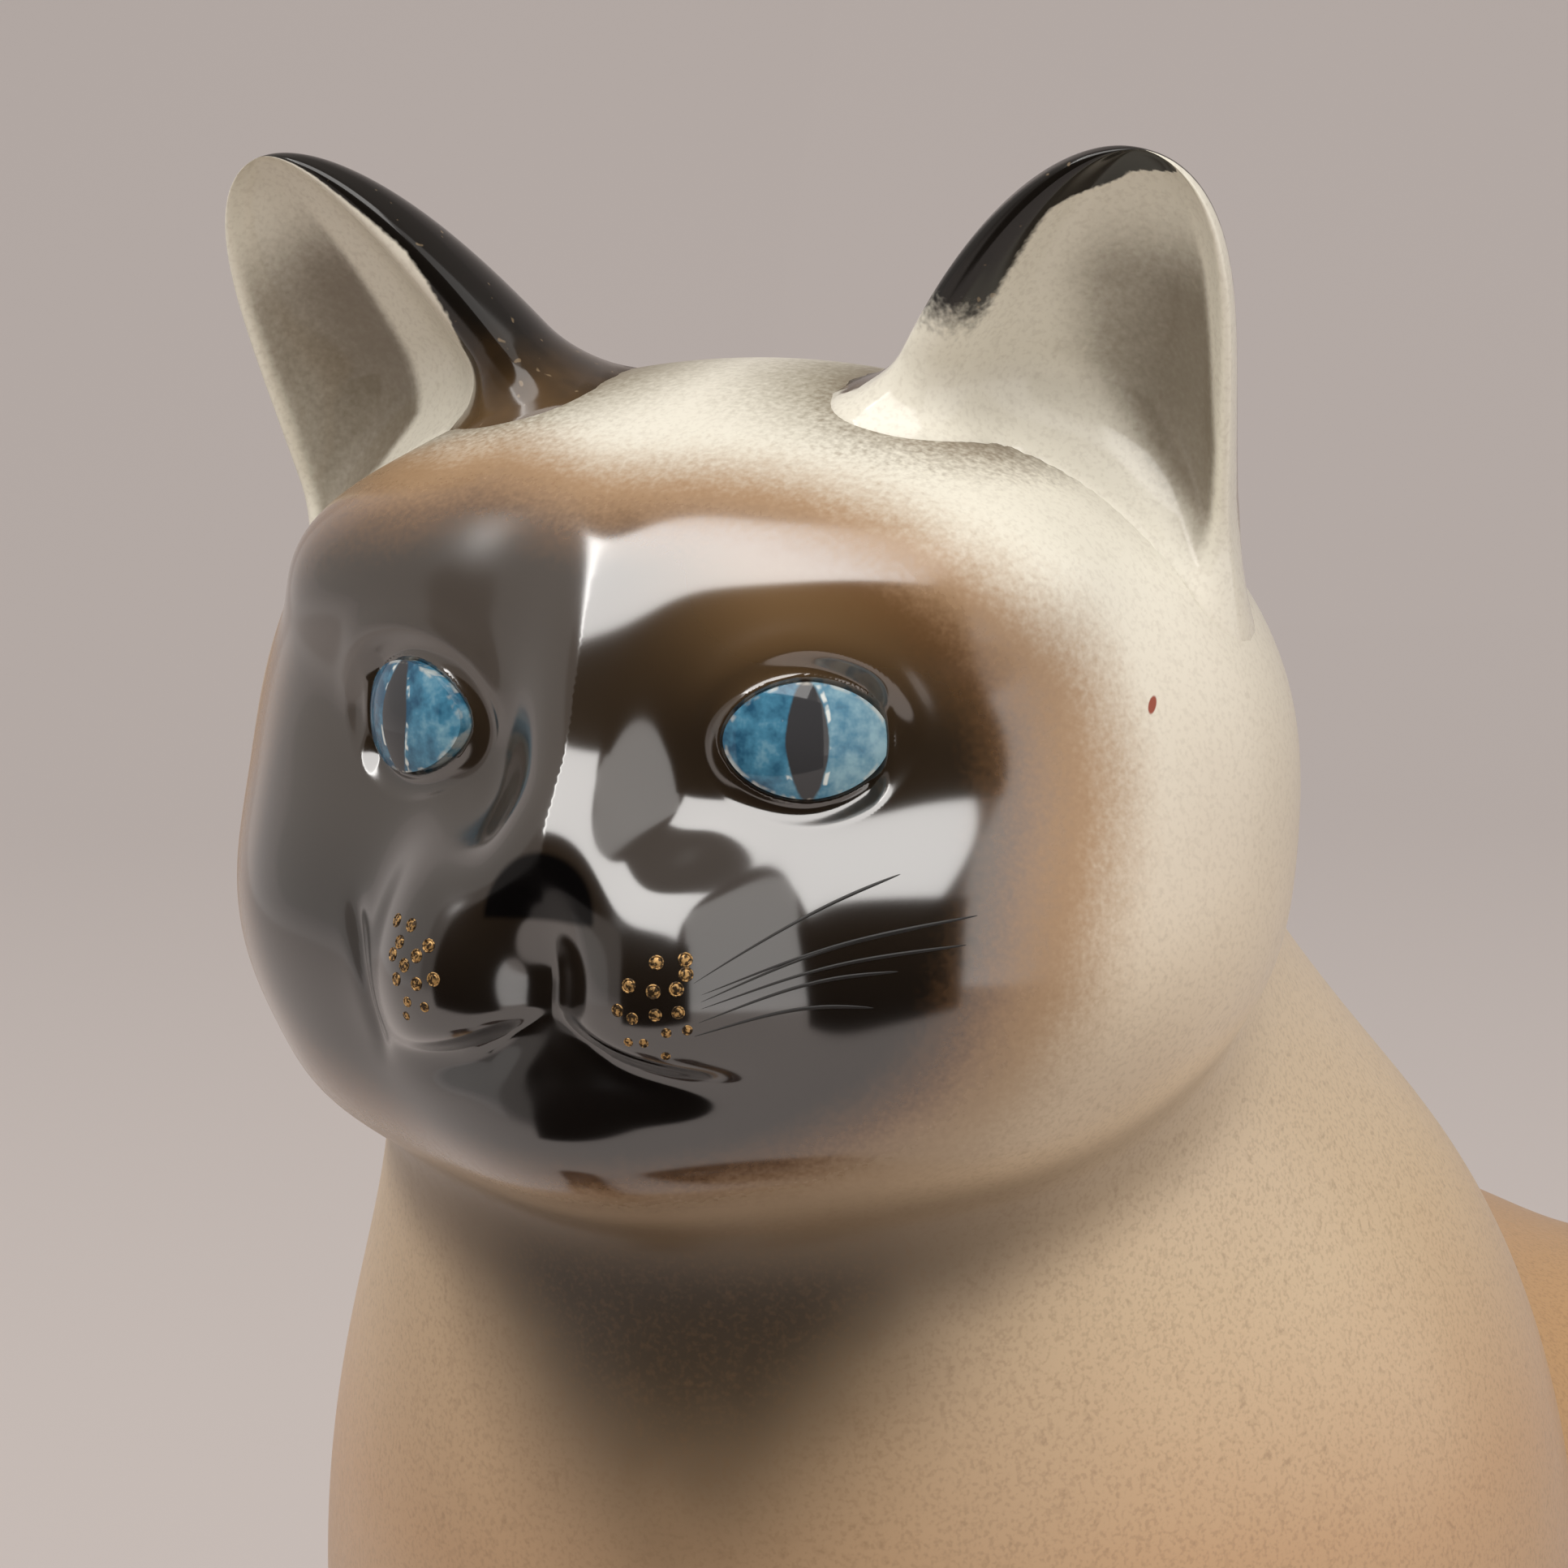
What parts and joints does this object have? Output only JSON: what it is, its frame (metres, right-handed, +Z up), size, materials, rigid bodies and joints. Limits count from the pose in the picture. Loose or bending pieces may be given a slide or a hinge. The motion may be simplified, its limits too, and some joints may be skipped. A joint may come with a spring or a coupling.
{
  "type": "ceramic cat figurine",
  "caption": "Hollow slip-cast figurine of a seal-point Siamese cat lying down with its head raised, airbrushed and gloss glazed, with a flat foot to stand on a shelf.",
  "frame": {"origin": "middle of the flat foot, on the table", "axes": "the cat looks along -Y, its left side is +X, +Z is up"},
  "size_m": [0.0936, 0.1777, 0.1252],
  "materials": {
    "body_glaze": "satin gloss glaze over airbrushed cream and tan",
    "mask_glaze": "high gloss glaze over airbrushed seal brown fading to cream",
    "ear_glaze": "gloss glaze, seal brown back and cream-grey cup",
    "eye_glaze": "gloss glaze over mottled blue with a dark slit pupil",
    "leg_glaze": "gloss glaze, tan fading to seal brown paws",
    "tail_glaze": "gloss glaze, tan fading to seal brown"
  },
  "bodies": {
    "root": {"body_shell": "body_glaze", "head_shell": "mask_glaze", "left_ear": "ear_glaze", "right_ear": "ear_glaze", "left_eye": "eye_glaze", "right_eye": "eye_glaze", "left_foreleg": "leg_glaze", "right_foreleg": "leg_glaze", "left_hind_foot": "leg_glaze", "right_hind_foot": "leg_glaze", "tail": "tail_glaze"}
  },
  "joints": []
}
